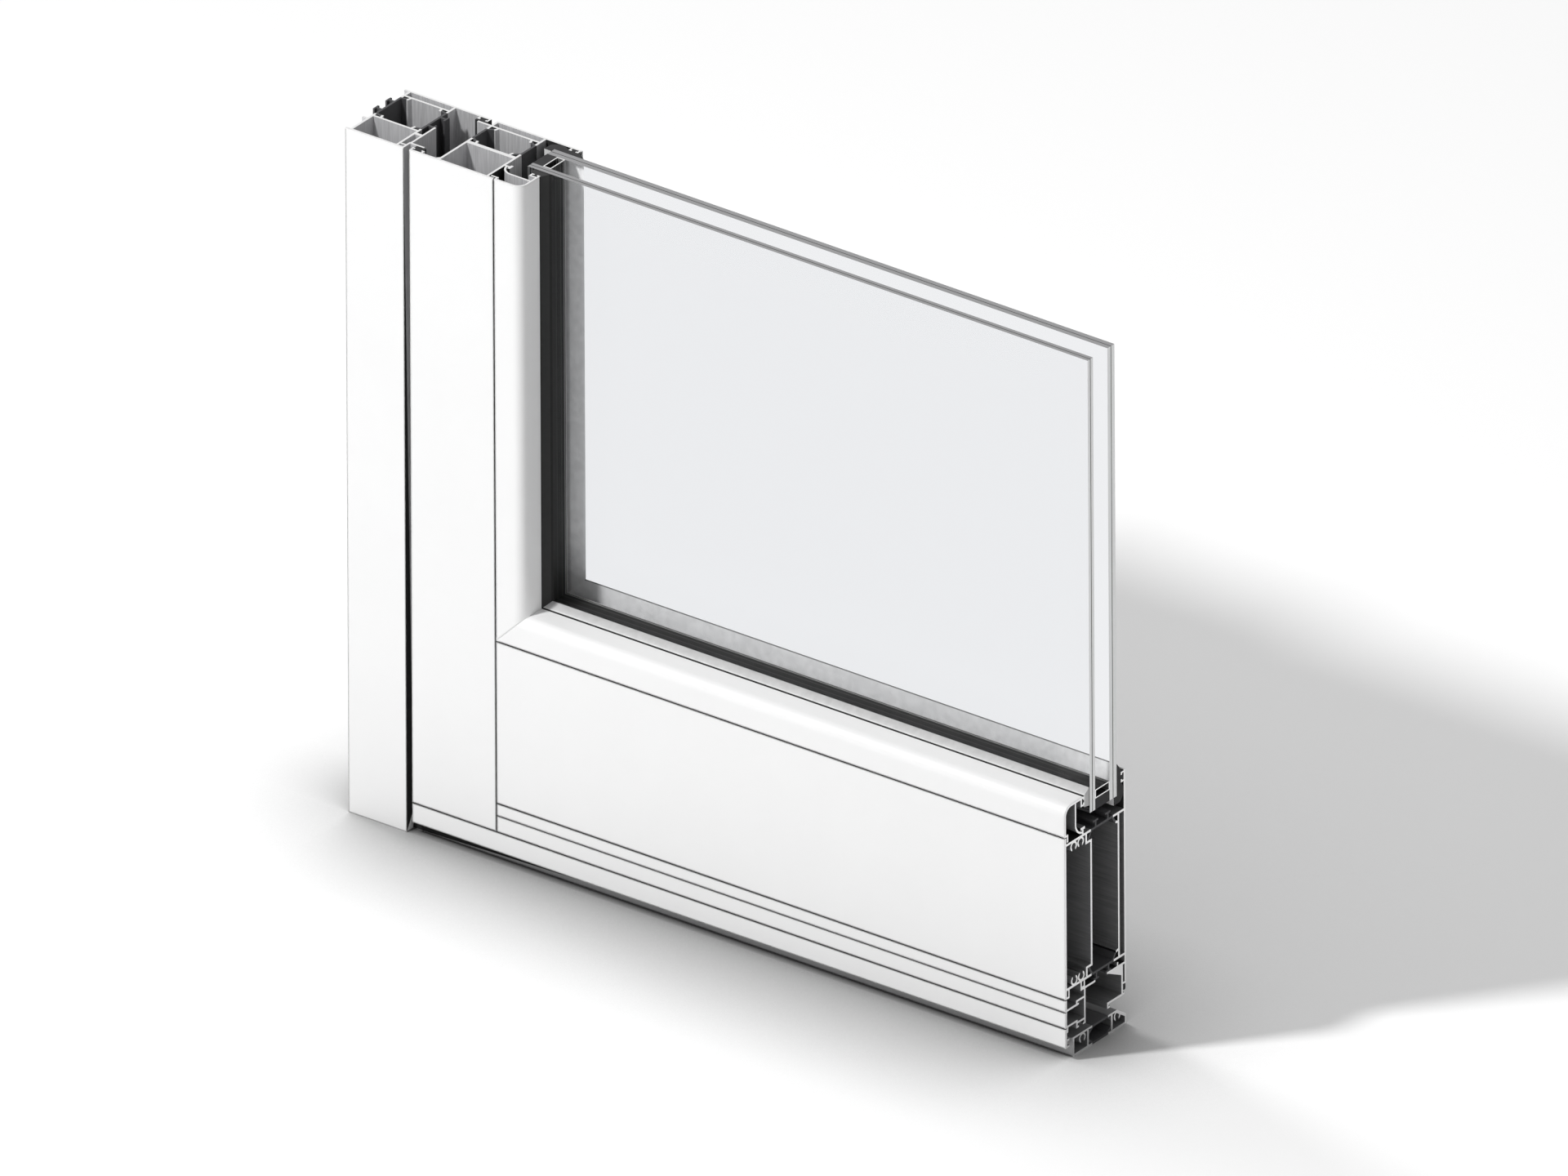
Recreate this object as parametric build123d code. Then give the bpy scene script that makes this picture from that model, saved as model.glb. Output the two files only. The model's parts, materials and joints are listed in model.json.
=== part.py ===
from build123d import *
from math import atan2, degrees, hypot
import os

# Corner sample of a thermally broken aluminium leaf in its frame, cut flat at the top and
# at the right end. X runs along the width, Y from the front face into the depth, Z is up.
# Every profile is drawn as a section whose first number runs across its face (X for the
# uprights, Z for the level ones) and whose second number runs into the depth (Y). It is
# drawn from the jamb's front lower corner, and at the end it is moved so that the origin
# lies on the floor below the middle of the sample.

# The whole sample
SAMPLE_WIDTH = 640.0
SAMPLE_HEIGHT = 554.0
SYSTEM_DEPTH = 72.0

# Aluminium walls shared by all profiles
SKIN = 1.6
WALL = 1.8
HOOK_WALL = 1.4
HOOK_LIP = 1.1
GROOVE_DEPTH = 3.4
JOINT = 0.8
PORT_RADIUS = 2.5
PORT_MOUTH = 3.6

# Polyamide bars, their claws and their T-shaped legs
BAR_WALL = 1.8
CLAW_INSET = 5.0
CLAW_RISE = 3.2
CLAW_LEAN = 1.2
SHELL_TIP = 2.5
LEG_REACH = 5.4
LEG_WALL = 1.5
LEG_FOOT = 6.0
LEG_INSET = 6.0
REAR_SHELL = 9.0

# Jamb
JAMB_FIN = 4.0
JAMB_CHAMBER = 42.2
JAMB_FACE = 52.0
JAMB_FRONT_DEPTH = 27.5
JAMB_RIB = 21.0
JAMB_LIP = 8.0
JAMB_REBATE_DEPTH = 38.0
JAMB_BRIDGE = 22.5
JAMB_BRIDGE_WALL = 2.6

# Leaf stile
LEAF_GAP = 5.0
STILE_OVERLAP = 25.0
STILE_CHAMBER = 44.8
STILE_FRONT_DEPTH = 36.5
STILE_BACK_WALL = 3.4
STILE_TIP = 4.5
STILE_GROOVE = 10.8
STILE_GROOVE_DEPTH = 2.9
STILE_GUSSET = 2.4
REAR_LIP = 11.5
REAR_GROOVE = 9.6

# Kick rail
KICK_HEIGHT = 118.5
RAIL_SHELL_DEPTH = 31.0
RAIL_WEB_OFFSET = 1.2
RAIL_JOG = 8.0
RAIL_JOG_RUN = 7.6
RAIL_REAR_DEPTH = 14.5
PORT_DEPTHS = (10.6, 18.9)
RAIL_HEM = 4.8
SCREW_BOX_FRONT = 18.0
SCREW_BOX = 5.2

# Foot profiles, drip strip and their distance from the floor
LEAF_BOTTOM = 26.0
FOOT_HEIGHT = 24.6
FOOT_SHELF = 13.2
FOOT_STEP = 2.8
FOOT_STEP_DEPTH = 12.6
FOOT_BACK = 23.7
FOOT_LEG = 5.0
FOOT_FLANGE_GRIP = 1.5
FOOT_LIP = 2.9
FACE_GROOVE = 0.7
REAR_FOOT_DEPTH = 22.5
REAR_FOOT_CAVITY = 3.7
REAR_FOOT_NUB = 9.2
REAR_FOOT_SKIN = 17.5
REAR_FOOT_GUSSET = 7.8
REAR_FOOT_TOE = 3.4
SEAL_BULB = 5.2
STRIP_HEIGHT = 15.4
STRIP_HOOK = 2.7
STRIP_HOOK_GAP = 5.4

# Threshold
THRESHOLD_HEIGHT = 15.5
THRESHOLD_FRONT = 8.5
THRESHOLD_WEB = 25.6
THRESHOLD_TIP = 31.5
THRESHOLD_REAR_DEPTH = 21.5
THRESHOLD_REAR_WEB = 18.0
THRESHOLD_SLOPE = 11.0
THRESHOLD_REAR_HEIGHT = 8.0
THRESHOLD_PORT_FRONT = 19.8
THRESHOLD_PORT_REAR = 10.8

# Glazing rebate and bead, across from the leaf's glazing wall
LEAF_LIP = 5.0
BEAD_HEIGHT = 30.0
BEAD_WALL = 1.5
BEAD_ROUND = 8.0
BEAD_BACK = 13.7
BEAD_TAIL_RADIUS = 9.5
BEAD_TAIL_ANGLE = 80.0
BEAD_GROOVE = 7.4
BEAD_DEPTH = 22.0
BEAD_FOOT_DEPTH = 4.1
BEAD_FOOT = 1.0
BEAD_CLAW_DEPTH = 20.6
BEAD_CLAW_HEAD = 5.0
REBATE_FLANGE = 31.4
FLANGE_GROOVE = 8.5

# Glass unit and its gaskets
GLASS_EDGE = 13.5
FRONT_GASKET = 8.0
FRONT_GASKET_RISE = 5.0
REAR_GASKET = 8.4
REAR_GASKET_RISE = 9.0
REAR_GASKET_TOE = 3.6
FRONT_SHEET = 2.8
REAR_SHEET = 3.8
INTERLAYER = 0.8
SPACER = 7.2
SPACER_WALL = 0.9
SEALANT = 8.0
BLOCK_LENGTH = 100.0
BLOCK_OFFSET = 90.0
BLOCK_SIDE = 1.0

# Places worked out from the sizes above
rear_skin = SYSTEM_DEPTH - SKIN
rear_shell = SYSTEM_DEPTH - REAR_SHELL
jamb_left = JAMB_FIN
jamb_right = JAMB_FIN + JAMB_CHAMBER
leaf_left = JAMB_FACE + LEAF_GAP
stile_left = leaf_left + STILE_OVERLAP
stile_right = stile_left + STILE_CHAMBER
jamb_rear_face = stile_left - LEAF_GAP
foot_top = LEAF_BOTTOM + FOOT_HEIGHT
rail_bottom = foot_top + LEG_REACH
rail_top = rail_bottom + KICK_HEIGHT
rail_hem = foot_top - FOOT_LIP / 2
rail_web = RAIL_SHELL_DEPTH + RAIL_WEB_OFFSET
rail_jog = rail_web - RAIL_JOG_RUN
rail_rear_tip = SYSTEM_DEPTH - RAIL_REAR_DEPTH
foot_flange_end = RAIL_SHELL_DEPTH + LEG_INSET - LEG_FOOT / 2 + FOOT_FLANGE_GRIP
rear_foot_front = SYSTEM_DEPTH - REAR_FOOT_DEPTH
rear_foot_wall = SYSTEM_DEPTH - REAR_FOOT_CAVITY
threshold_rear_tip = SYSTEM_DEPTH - THRESHOLD_REAR_DEPTH
threshold_rear_web = SYSTEM_DEPTH - THRESHOLD_REAR_WEB
glass_front = BEAD_DEPTH + FRONT_GASKET
glass_rear = rear_skin - REAR_GASKET
front_pane_back = glass_front + 2 * FRONT_SHEET + INTERLAYER
rear_pane_front = glass_rear - 2 * REAR_SHEET - INTERLAYER
spacer_low = GLASS_EDGE + SEALANT + 0.5 * BEAD_WALL


def wall(across_a, depth_a, across_b, depth_b):
    """A straight wall of a section, given by two opposite corners."""
    middle = ((across_a + across_b) / 2, (depth_a + depth_b) / 2)
    return Pos(*middle) * Rectangle(abs(across_b - across_a), abs(depth_b - depth_a))


def outline(points):
    """A filled outline, its points taken anticlockwise."""
    area = sum(a[0] * b[1] - b[0] * a[1] for a, b in zip(points, points[1:] + points[:1]))
    return Polygon(*(points if area > 0 else points[::-1]), align=None)


def strip(points, thickness):
    """A wall of even thickness along a line of points, rounded at its inner corners."""
    shape = Sketch()
    for start, end in zip(points, points[1:]):
        run = (end[0] - start[0], end[1] - start[1])
        middle = ((start[0] + end[0]) / 2, (start[1] + end[1]) / 2)
        turn = degrees(atan2(run[1], run[0]))
        shape += Pos(*middle) * Rot(0, 0, turn) * Rectangle(hypot(*run), thickness)
    for corner in points[1:-1]:
        shape += Pos(*corner) * Circle(thickness / 2)
    return shape


def arc_wall(centre, radius, start, sweep, thickness):
    """A curved wall of even thickness about a centre."""
    outer = CenterArc(centre, radius + thickness / 2, start, sweep)
    inner = CenterArc(centre, radius - thickness / 2, start, sweep)
    ends = [Line(outer @ 0, inner @ 0), Line(outer @ 1, inner @ 1)]
    return make_face([outer, inner] + ends)


def screw_port(across, depth, mouth):
    """An open C-shaped screw port whose mouth faces up (1) or down (-1) across."""
    ring = Circle(PORT_RADIUS + HOOK_WALL) - Circle(PORT_RADIUS)
    reach = PORT_RADIUS + HOOK_WALL
    return Pos(across, depth) * (ring - Pos(mouth * reach / 2, 0) * Rectangle(reach, PORT_MOUTH))


def groove_hooks(low, high, base, tip):
    """Two hooks that face each other and hold the foot of a gasket."""
    step = HOOK_WALL if tip > base else -HOOK_WALL
    hooks = wall(low, base, low + HOOK_WALL, tip)
    hooks += wall(high - HOOK_WALL, base, high, tip)
    hooks += wall(low, tip - step, low + HOOK_WALL + HOOK_LIP, tip)
    hooks += wall(high - HOOK_WALL - HOOK_LIP, tip - step, high, tip)
    return hooks


def groove_foot(low, high, base, tip):
    """The gasket's foot that fills the space between a pair of groove hooks."""
    step = HOOK_WALL if tip > base else -HOOK_WALL
    head = wall(low + HOOK_WALL, base, high - HOOK_WALL, tip - step)
    inset = HOOK_WALL + HOOK_LIP
    return head + wall(low + inset, base, high - inset, tip)


def claw_pair(low, high, base, direction):
    """The two leaning claws that clamp bars against the side walls of a shell."""
    claws = Sketch()
    inset = WALL + CLAW_INSET + WALL / 2
    for root, lean in ((low + inset, -CLAW_LEAN), (high - inset, CLAW_LEAN)):
        tip = (root + lean, base + direction * CLAW_RISE)
        claws += strip([(root, base - direction * WALL / 2), tip], WALL)
    return claws


def clamped_bar(front_base, front_tip, rear_base, rear_tip):
    """A bar between two clawed shells, with its outer face at zero across."""
    clamp = WALL + CLAW_INSET
    centre = BAR_WALL / 2
    line = [(clamp, front_base + CLAW_RISE / 2), (centre, front_tip + centre)]
    line += [(centre, rear_tip - centre), (clamp, rear_base - CLAW_RISE / 2)]
    return strip(line, BAR_WALL)


def t_leg(depth):
    """A leg with a cross foot, which stands out from a bar's outer face."""
    foot = wall(-LEG_REACH, depth - LEG_FOOT / 2, LEG_WALL - LEG_REACH, depth + LEG_FOOT / 2)
    return foot + wall(-LEG_REACH, depth - LEG_WALL / 2, BAR_WALL / 2, depth + LEG_WALL / 2)


def leg_pair(front_tip, rear_tip):
    """The two T-legs of a bar, each set in from one end."""
    return t_leg(front_tip + LEG_INSET) + t_leg(rear_tip - LEG_INSET)


def flipped(section, across):
    """The section turned over, with its zero put at a place across."""
    return Pos(across, 0) * mirror(section, about=Plane.YZ)


def upright(section, low, high):
    """A section run along Z."""
    return extrude(Pos(0, 0, low) * section, high - low, dir=(0, 0, 1))


def level(section, left, right):
    """A section run along X, its first number standing up."""
    cut_end = Plane(origin=(right, 0, 0), x_dir=(0, 0, 1), z_dir=(-1, 0, 0))
    return extrude(cut_end * section, right - left, dir=(-1, 0, 0))


def space(low, high):
    """A block of space between two corners, for cuts."""
    size = [b - a for a, b in zip(low, high)]
    middle = [(a + b) / 2 for a, b in zip(low, high)]
    return Pos(*middle) * Box(*size)


def mitre_space(above):
    """The space above or below the diagonal that the glazing corner is mitred on."""
    reach = SAMPLE_WIDTH + SAMPLE_HEIGHT
    corner = (stile_right - reach, rail_top + reach) if above else (stile_right + reach, rail_top - reach)
    ends = [(stile_right - reach, rail_top - reach), (stile_right + reach, rail_top + reach)]
    wedge = Plane.XZ * outline(ends + [corner])
    return extrude(Pos(0, -SYSTEM_DEPTH, 0) * wedge, 3 * SYSTEM_DEPTH, dir=(0, 1, 0))


def glazing_upright(section):
    """A piece of the glazing rebate beside the stile, mitred at its foot."""
    placed = Pos(stile_right, 0) * section
    return upright(placed, rail_top, SAMPLE_HEIGHT) - mitre_space(above=False)


def glazing_level(section):
    """A piece of the glazing rebate above the rail, mitred at its left end."""
    placed = Pos(rail_top, 0) * section
    return level(placed, stile_right, SAMPLE_WIDTH) - mitre_space(above=True)


# Jamb

def jamb_front_main():
    section = wall(0, 0, JAMB_FACE, SKIN)
    section += wall(jamb_left, 0, jamb_left + WALL, JAMB_FRONT_DEPTH + SHELL_TIP)
    section += wall(jamb_right - WALL, 0, jamb_right, JAMB_FRONT_DEPTH + SHELL_TIP)
    section += wall(jamb_left, JAMB_FRONT_DEPTH - WALL, jamb_right, JAMB_FRONT_DEPTH)
    section += claw_pair(jamb_left, jamb_right, JAMB_FRONT_DEPTH, 1)
    section += wall(0, JAMB_RIB - SKIN / 2, jamb_left, JAMB_RIB + SKIN / 2)
    section += wall(JAMB_FACE - SKIN, 0, JAMB_FACE, JAMB_LIP)
    return section + wall(jamb_right, JAMB_LIP / 2, JAMB_FACE, JAMB_LIP / 2 + HOOK_WALL)


def jamb_front_rebate():
    outer = JAMB_FACE + SKIN / 2
    seat = leaf_left + STILE_GROOVE / 2 + SKIN
    section = wall(outer - SKIN, JAMB_LIP, outer, JAMB_REBATE_DEPTH)
    section += wall(JAMB_FACE - SKIN, JAMB_LIP, seat, JAMB_LIP + SKIN)
    bridge = JAMB_BRIDGE_WALL / 2
    return section + wall(jamb_right, JAMB_BRIDGE - bridge, outer, JAMB_BRIDGE + bridge)


def jamb_rear_main():
    section = wall(0, rear_skin, jamb_right, SYSTEM_DEPTH)
    section += wall(jamb_left, rear_shell - SHELL_TIP, jamb_left + WALL, SYSTEM_DEPTH)
    section += wall(jamb_right - WALL, rear_shell - SHELL_TIP, jamb_right, SYSTEM_DEPTH)
    section += wall(jamb_left, rear_shell, jamb_right, rear_shell + WALL)
    return section + claw_pair(jamb_left, jamb_right, rear_shell, -1)


def jamb_rear_groove():
    return (jamb_rear_face - REAR_GROOVE, jamb_rear_face, rear_skin, rear_skin - GROOVE_DEPTH)


def jamb_rear_flange():
    section = wall(jamb_right, rear_skin, jamb_rear_face, SYSTEM_DEPTH)
    return section + groove_hooks(*jamb_rear_groove())


def jamb_bar():
    return clamped_bar(JAMB_FRONT_DEPTH, JAMB_FRONT_DEPTH + SHELL_TIP, rear_shell, rear_shell - SHELL_TIP)


def jamb_legs():
    return leg_pair(JAMB_FRONT_DEPTH + SHELL_TIP + BAR_WALL, rear_shell - SHELL_TIP - BAR_WALL)


def jamb_front():
    main = upright(jamb_front_main(), 0, SAMPLE_HEIGHT)
    return main + upright(jamb_front_rebate(), THRESHOLD_HEIGHT, SAMPLE_HEIGHT)


def jamb_rear():
    main = upright(jamb_rear_main(), 0, SAMPLE_HEIGHT)
    return main + upright(jamb_rear_flange(), THRESHOLD_HEIGHT, SAMPLE_HEIGHT)


def jamb_thermal_bar_outer():
    section = Pos(jamb_left, 0) * (jamb_bar() + jamb_legs())
    return upright(section - jamb_front_main() - jamb_rear_main(), 0, SAMPLE_HEIGHT)


def jamb_thermal_bar_inner():
    web = flipped(jamb_bar(), jamb_right) - jamb_front_main() - jamb_rear_main()
    legs = flipped(jamb_legs(), jamb_right) - jamb_front_rebate()
    return upright(web, 0, SAMPLE_HEIGHT) + upright(legs, THRESHOLD_HEIGHT, SAMPLE_HEIGHT)


def jamb_rear_gasket():
    low, high, base, tip = jamb_rear_groove()
    seat = rear_shell + WALL
    pad = outline([(low, tip), (high, tip), (high + LEAF_GAP / 2, seat), (low, seat)])
    return upright(groove_foot(low, high, base, tip) + pad, THRESHOLD_HEIGHT, SAMPLE_HEIGHT)


# Leaf stile

def bead_claw():
    """The hammer-headed rib that the bead's tail snaps behind."""
    stem = wall(0, BEAD_CLAW_DEPTH, LEAF_LIP, BEAD_CLAW_DEPTH + WALL)
    middle = BEAD_CLAW_DEPTH + WALL / 2
    head = BEAD_CLAW_HEAD / 2
    return stem + wall(LEAF_LIP - HOOK_WALL, middle - head, LEAF_LIP + HOOK_WALL / 2, middle + head)


def stile_front_groove():
    return (leaf_left, leaf_left + STILE_GROOVE, SKIN, SKIN + STILE_GROOVE_DEPTH)


def stile_front_section():
    tip = STILE_FRONT_DEPTH + STILE_TIP
    section = wall(leaf_left, 0, stile_right + LEAF_LIP, SKIN)
    section += wall(stile_left, 0, stile_left + WALL, tip)
    section += wall(stile_right - WALL, 0, stile_right, tip)
    section += wall(stile_left, STILE_FRONT_DEPTH - STILE_BACK_WALL, stile_right, STILE_FRONT_DEPTH)
    section += claw_pair(stile_left, stile_right, STILE_FRONT_DEPTH, 1)
    section += groove_hooks(*stile_front_groove())
    gusset = [(stile_left - STILE_GUSSET, SKIN), (stile_left, SKIN), (stile_left, SKIN + STILE_GUSSET)]
    return section + outline(gusset)


def stile_rear_section():
    tip = rear_shell - SHELL_TIP - WALL
    section = wall(stile_left, rear_skin, stile_right + REBATE_FLANGE, SYSTEM_DEPTH)
    section += wall(stile_left, tip, stile_left + WALL, SYSTEM_DEPTH)
    section += wall(stile_right - WALL, tip, stile_right, SYSTEM_DEPTH)
    section += wall(stile_left - REAR_LIP, rear_shell, stile_right, rear_shell + WALL)
    return section + claw_pair(stile_left, stile_right, rear_shell, -1)


def stile_bar():
    front_tip = STILE_FRONT_DEPTH + STILE_TIP
    return clamped_bar(STILE_FRONT_DEPTH, front_tip, rear_shell, rear_shell - SHELL_TIP - WALL)


def flange_groove():
    low = REBATE_FLANGE - FLANGE_GROOVE - HOOK_WALL / 2
    return (low, low + FLANGE_GROOVE, rear_skin, rear_skin - GROOVE_DEPTH)


def stile_front():
    main = upright(stile_front_section(), LEAF_BOTTOM, SAMPLE_HEIGHT)
    claw = Pos(stile_right, 0) * bead_claw()
    return main + upright(claw, rail_top + LEAF_LIP + WALL, SAMPLE_HEIGHT)


def stile_rear():
    main = upright(stile_rear_section(), LEAF_BOTTOM, SAMPLE_HEIGHT)
    hooks = Pos(stile_right, 0) * groove_hooks(*flange_groove())
    return main + upright(hooks, rail_top + REBATE_FLANGE, SAMPLE_HEIGHT)


def stile_thermal_bar_outer():
    section = Pos(stile_left, 0) * stile_bar() - stile_front_section() - stile_rear_section()
    return upright(section, LEAF_BOTTOM, SAMPLE_HEIGHT)


def stile_thermal_bar_inner():
    section = flipped(stile_bar(), stile_right) - stile_front_section() - stile_rear_section()
    return upright(section, LEAF_BOTTOM, SAMPLE_HEIGHT)


def stile_front_gasket():
    low, high, base, tip = stile_front_groove()
    pad = wall(low + HOOK_LIP, tip, high - HOOK_WALL, JAMB_LIP)
    return upright(groove_foot(low, high, base, tip) + pad, LEAF_BOTTOM, SAMPLE_HEIGHT)


# Kick rail

def rail_port_row(inner_face, mouth):
    ports = Sketch()
    for depth in PORT_DEPTHS:
        ports += screw_port(inner_face + mouth * (PORT_RADIUS + HOOK_WALL / 2), depth, mouth)
    return ports


def rail_front_half():
    """Lower half of the front shell's inside, with its wall at zero across."""
    half = wall(0, 0, WALL, RAIL_SHELL_DEPTH)
    half += rail_port_row(WALL, 1)
    half += wall(0, rail_jog, RAIL_JOG + WALL, rail_jog + WALL)
    return half + wall(RAIL_JOG, rail_jog, RAIL_JOG + WALL, rail_web)


def rail_front_section():
    section = wall(rail_hem, 0, rail_top + LEAF_LIP, SKIN)
    section += Pos(rail_bottom, 0) * rail_front_half()
    section += flipped(rail_front_half(), rail_top)
    section += wall(rail_bottom + RAIL_JOG, rail_web - WALL, rail_top - RAIL_JOG, rail_web)
    section += wall(rail_hem, 0, rail_hem + SKIN, RAIL_HEM)
    section += wall(rail_hem, RAIL_HEM - HOOK_WALL, rail_bottom, RAIL_HEM)
    back = SCREW_BOX_FRONT + SCREW_BOX
    box = wall(foot_top, SCREW_BOX_FRONT, rail_bottom + WALL, back)
    box -= wall(foot_top + HOOK_WALL, SCREW_BOX_FRONT + HOOK_WALL, rail_bottom, back - HOOK_WALL)
    return section + box


def rail_rear_half():
    """Lower half of the rear shell's inside, with its wall at zero across."""
    half = wall(0, rail_rear_tip, WALL, SYSTEM_DEPTH)
    claw_root = (RAIL_JOG, rear_shell + WALL / 2)
    claw_tip = (RAIL_JOG - CLAW_LEAN, rear_shell - CLAW_RISE + CLAW_LEAN / 2)
    return half + strip([claw_root, claw_tip], WALL)


def rail_rear_section():
    section = wall(foot_top, rear_skin, rail_top + REBATE_FLANGE, SYSTEM_DEPTH)
    section += Pos(rail_bottom, 0) * rail_rear_half()
    section += flipped(rail_rear_half(), rail_top)
    return section + wall(rail_bottom, rear_shell, rail_top, rear_shell + WALL)


def rail_bar():
    """Polyamide bar of the rail, with its outer face at zero across."""
    centre = BAR_WALL / 2
    line = [(RAIL_JOG, RAIL_SHELL_DEPTH - CLAW_RISE), (centre, RAIL_SHELL_DEPTH + centre)]
    line += [(centre, rail_rear_tip - centre), (RAIL_JOG - WALL, rear_shell - CLAW_RISE)]
    bar = strip(line, BAR_WALL) + leg_pair(RAIL_SHELL_DEPTH, rail_rear_tip)
    return bar - rail_front_half() - rail_rear_half()


def face_notch():
    """Space taken by the stile's front lip where level profiles butt against it."""
    return space((0, -SKIN, 0), (stile_right + LEAF_LIP + JOINT, SKIN, SAMPLE_HEIGHT))


def rear_notch():
    """Space taken by the stile's rear flange where level profiles butt against it."""
    low = (0, rear_skin, 0)
    return space(low, (stile_right + REBATE_FLANGE + JOINT / 2, SYSTEM_DEPTH + SKIN, SAMPLE_HEIGHT))


def rail_front():
    main = level(rail_front_section(), stile_right, SAMPLE_WIDTH) - face_notch()
    claw = Pos(rail_top, 0) * bead_claw()
    return main + level(claw, stile_right + LEAF_LIP + WALL, SAMPLE_WIDTH)


def rail_rear():
    main = level(rail_rear_section(), stile_right, SAMPLE_WIDTH) - rear_notch()
    hooks = Pos(rail_top, 0) * groove_hooks(*flange_groove())
    return main + level(hooks, stile_right + REBATE_FLANGE + JOINT / 2, SAMPLE_WIDTH)


def rail_thermal_bar_lower():
    return level(Pos(rail_bottom, 0) * rail_bar(), stile_right, SAMPLE_WIDTH)


def rail_thermal_bar_upper():
    return level(flipped(rail_bar(), rail_top), stile_right, SAMPLE_WIDTH)


# Foot profiles and drip strip

def rail_front_foot():
    bottom = LEAF_BOTTOM
    shelf = bottom + FOOT_SHELF
    leg = bottom - FOOT_LEG
    section = wall(bottom, 0, rail_hem - JOINT, SKIN)
    section += wall(shelf, 0, shelf + SKIN, FOOT_STEP_DEPTH + 2 * SKIN)
    section += wall(shelf, FOOT_STEP_DEPTH, shelf + FOOT_STEP + SKIN, FOOT_STEP_DEPTH + SKIN)
    section += wall(shelf + FOOT_STEP, FOOT_STEP_DEPTH, shelf + FOOT_STEP + SKIN, FOOT_BACK)
    section += wall(bottom, 0, bottom + SKIN, FOOT_STEP_DEPTH + SKIN)
    section += wall(leg, FOOT_STEP_DEPTH, bottom + SKIN, FOOT_STEP_DEPTH + SKIN)
    section += wall(bottom - SKIN, FOOT_STEP_DEPTH, bottom, FOOT_BACK)
    section += wall(leg, FOOT_STEP_DEPTH, leg + HOOK_WALL, FOOT_STEP_DEPTH + 2 * SKIN)
    section += wall(leg, FOOT_BACK - 2 * SKIN, leg + HOOK_WALL, FOOT_BACK)
    section += wall(leg, FOOT_BACK - SKIN, foot_top, FOOT_BACK)
    section += wall(foot_top - SKIN, SCREW_BOX_FRONT, foot_top, foot_flange_end)
    section -= wall(shelf - JOINT, -FACE_GROOVE, shelf, FACE_GROOVE)
    return level(section, stile_right, SAMPLE_WIDTH) - face_notch()


def rear_foot_skin_low():
    return foot_top - REAR_FOOT_SKIN


def rail_rear_foot():
    inner = rear_foot_wall - WALL
    skin_low = rear_foot_skin_low()
    section = wall(foot_top - SKIN, rear_foot_front, foot_top, SYSTEM_DEPTH)
    nub = SYSTEM_DEPTH - REAR_FOOT_NUB
    section += wall(foot_top, nub - HOOK_WALL, foot_top + HOOK_LIP + WALL, nub)
    top = foot_top - SKIN
    gusset = [(top, inner - 2 * REAR_FOOT_GUSSET), (top, rear_foot_wall), (top - REAR_FOOT_GUSSET, inner)]
    section += outline(gusset)
    section += wall(LEAF_BOTTOM - SKIN, inner, top, rear_foot_wall)
    section += wall(skin_low, rear_skin, foot_top, SYSTEM_DEPTH)
    section += wall(skin_low, inner, skin_low + SKIN, SYSTEM_DEPTH)
    section += wall(LEAF_BOTTOM - SKIN, rear_foot_front, LEAF_BOTTOM, rear_foot_wall + SKIN)
    toe = LEAF_BOTTOM - SKIN - REAR_FOOT_TOE
    section += wall(toe, rear_foot_front, LEAF_BOTTOM, rear_foot_front + SKIN)
    section += wall(toe, rear_foot_front, toe + HOOK_WALL, rear_foot_front + 2 * SKIN)
    return level(section, stile_right, SAMPLE_WIDTH) - rear_notch()


def rear_foot_seal():
    high = rear_foot_skin_low()
    bulb = wall(high - SEAL_BULB, rear_foot_wall, high, SYSTEM_DEPTH - HOOK_WALL / 2)
    return level(fillet(bulb.vertices(), HOOK_WALL), stile_right + REBATE_FLANGE + JOINT / 2, SAMPLE_WIDTH)


def drip_strip():
    top = LEAF_BOTTOM - JOINT
    low = top - STRIP_HEIGHT
    section = wall(low, 0, top, SKIN)
    for foot in (low, low + STRIP_HOOK_GAP):
        section += wall(foot, 0, foot + SKIN, SKIN + STRIP_HOOK)
    section += wall(top - 2 * SKIN, SKIN, LEAF_BOTTOM, SKIN + HOOK_WALL)
    return level(section, leaf_left, SAMPLE_WIDTH)


# Glazing

def bead_section():
    """Hollow bead: round outer corner, curved tail, and a groove for the front gasket."""
    low = LEAF_LIP + JOINT
    round_centre = (BEAD_HEIGHT - BEAD_ROUND, BEAD_ROUND)
    back = BEAD_BACK - BEAD_WALL / 2
    groove = (BEAD_HEIGHT - BEAD_GROOVE, BEAD_HEIGHT, BEAD_DEPTH - HOOK_WALL, BEAD_DEPTH + HOOK_WALL)
    section = wall(low, 0, BEAD_HEIGHT - BEAD_ROUND, BEAD_WALL)
    section += arc_wall(round_centre, BEAD_ROUND - BEAD_WALL / 2, -90, 90, BEAD_WALL)
    section += wall(BEAD_HEIGHT - BEAD_WALL, BEAD_ROUND, BEAD_HEIGHT, groove[2])
    tail_top = BEAD_TAIL_RADIUS + BEAD_WALL
    section += wall(tail_top, BEAD_BACK - BEAD_WALL, BEAD_HEIGHT, BEAD_BACK)
    tail_centre = (tail_top, back + BEAD_TAIL_RADIUS)
    section += arc_wall(tail_centre, BEAD_TAIL_RADIUS, -90, -BEAD_TAIL_ANGLE, BEAD_WALL)
    section += groove_hooks(*groove)
    section += wall(groove[0], groove[2] - BEAD_WALL, groove[1], groove[2])
    section += wall(low, 0, low + BEAD_WALL, BEAD_FOOT_DEPTH)
    section += wall(BEAD_FOOT, BEAD_FOOT_DEPTH - BEAD_WALL, low + BEAD_WALL, BEAD_FOOT_DEPTH)
    return section - bead_claw()


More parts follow.
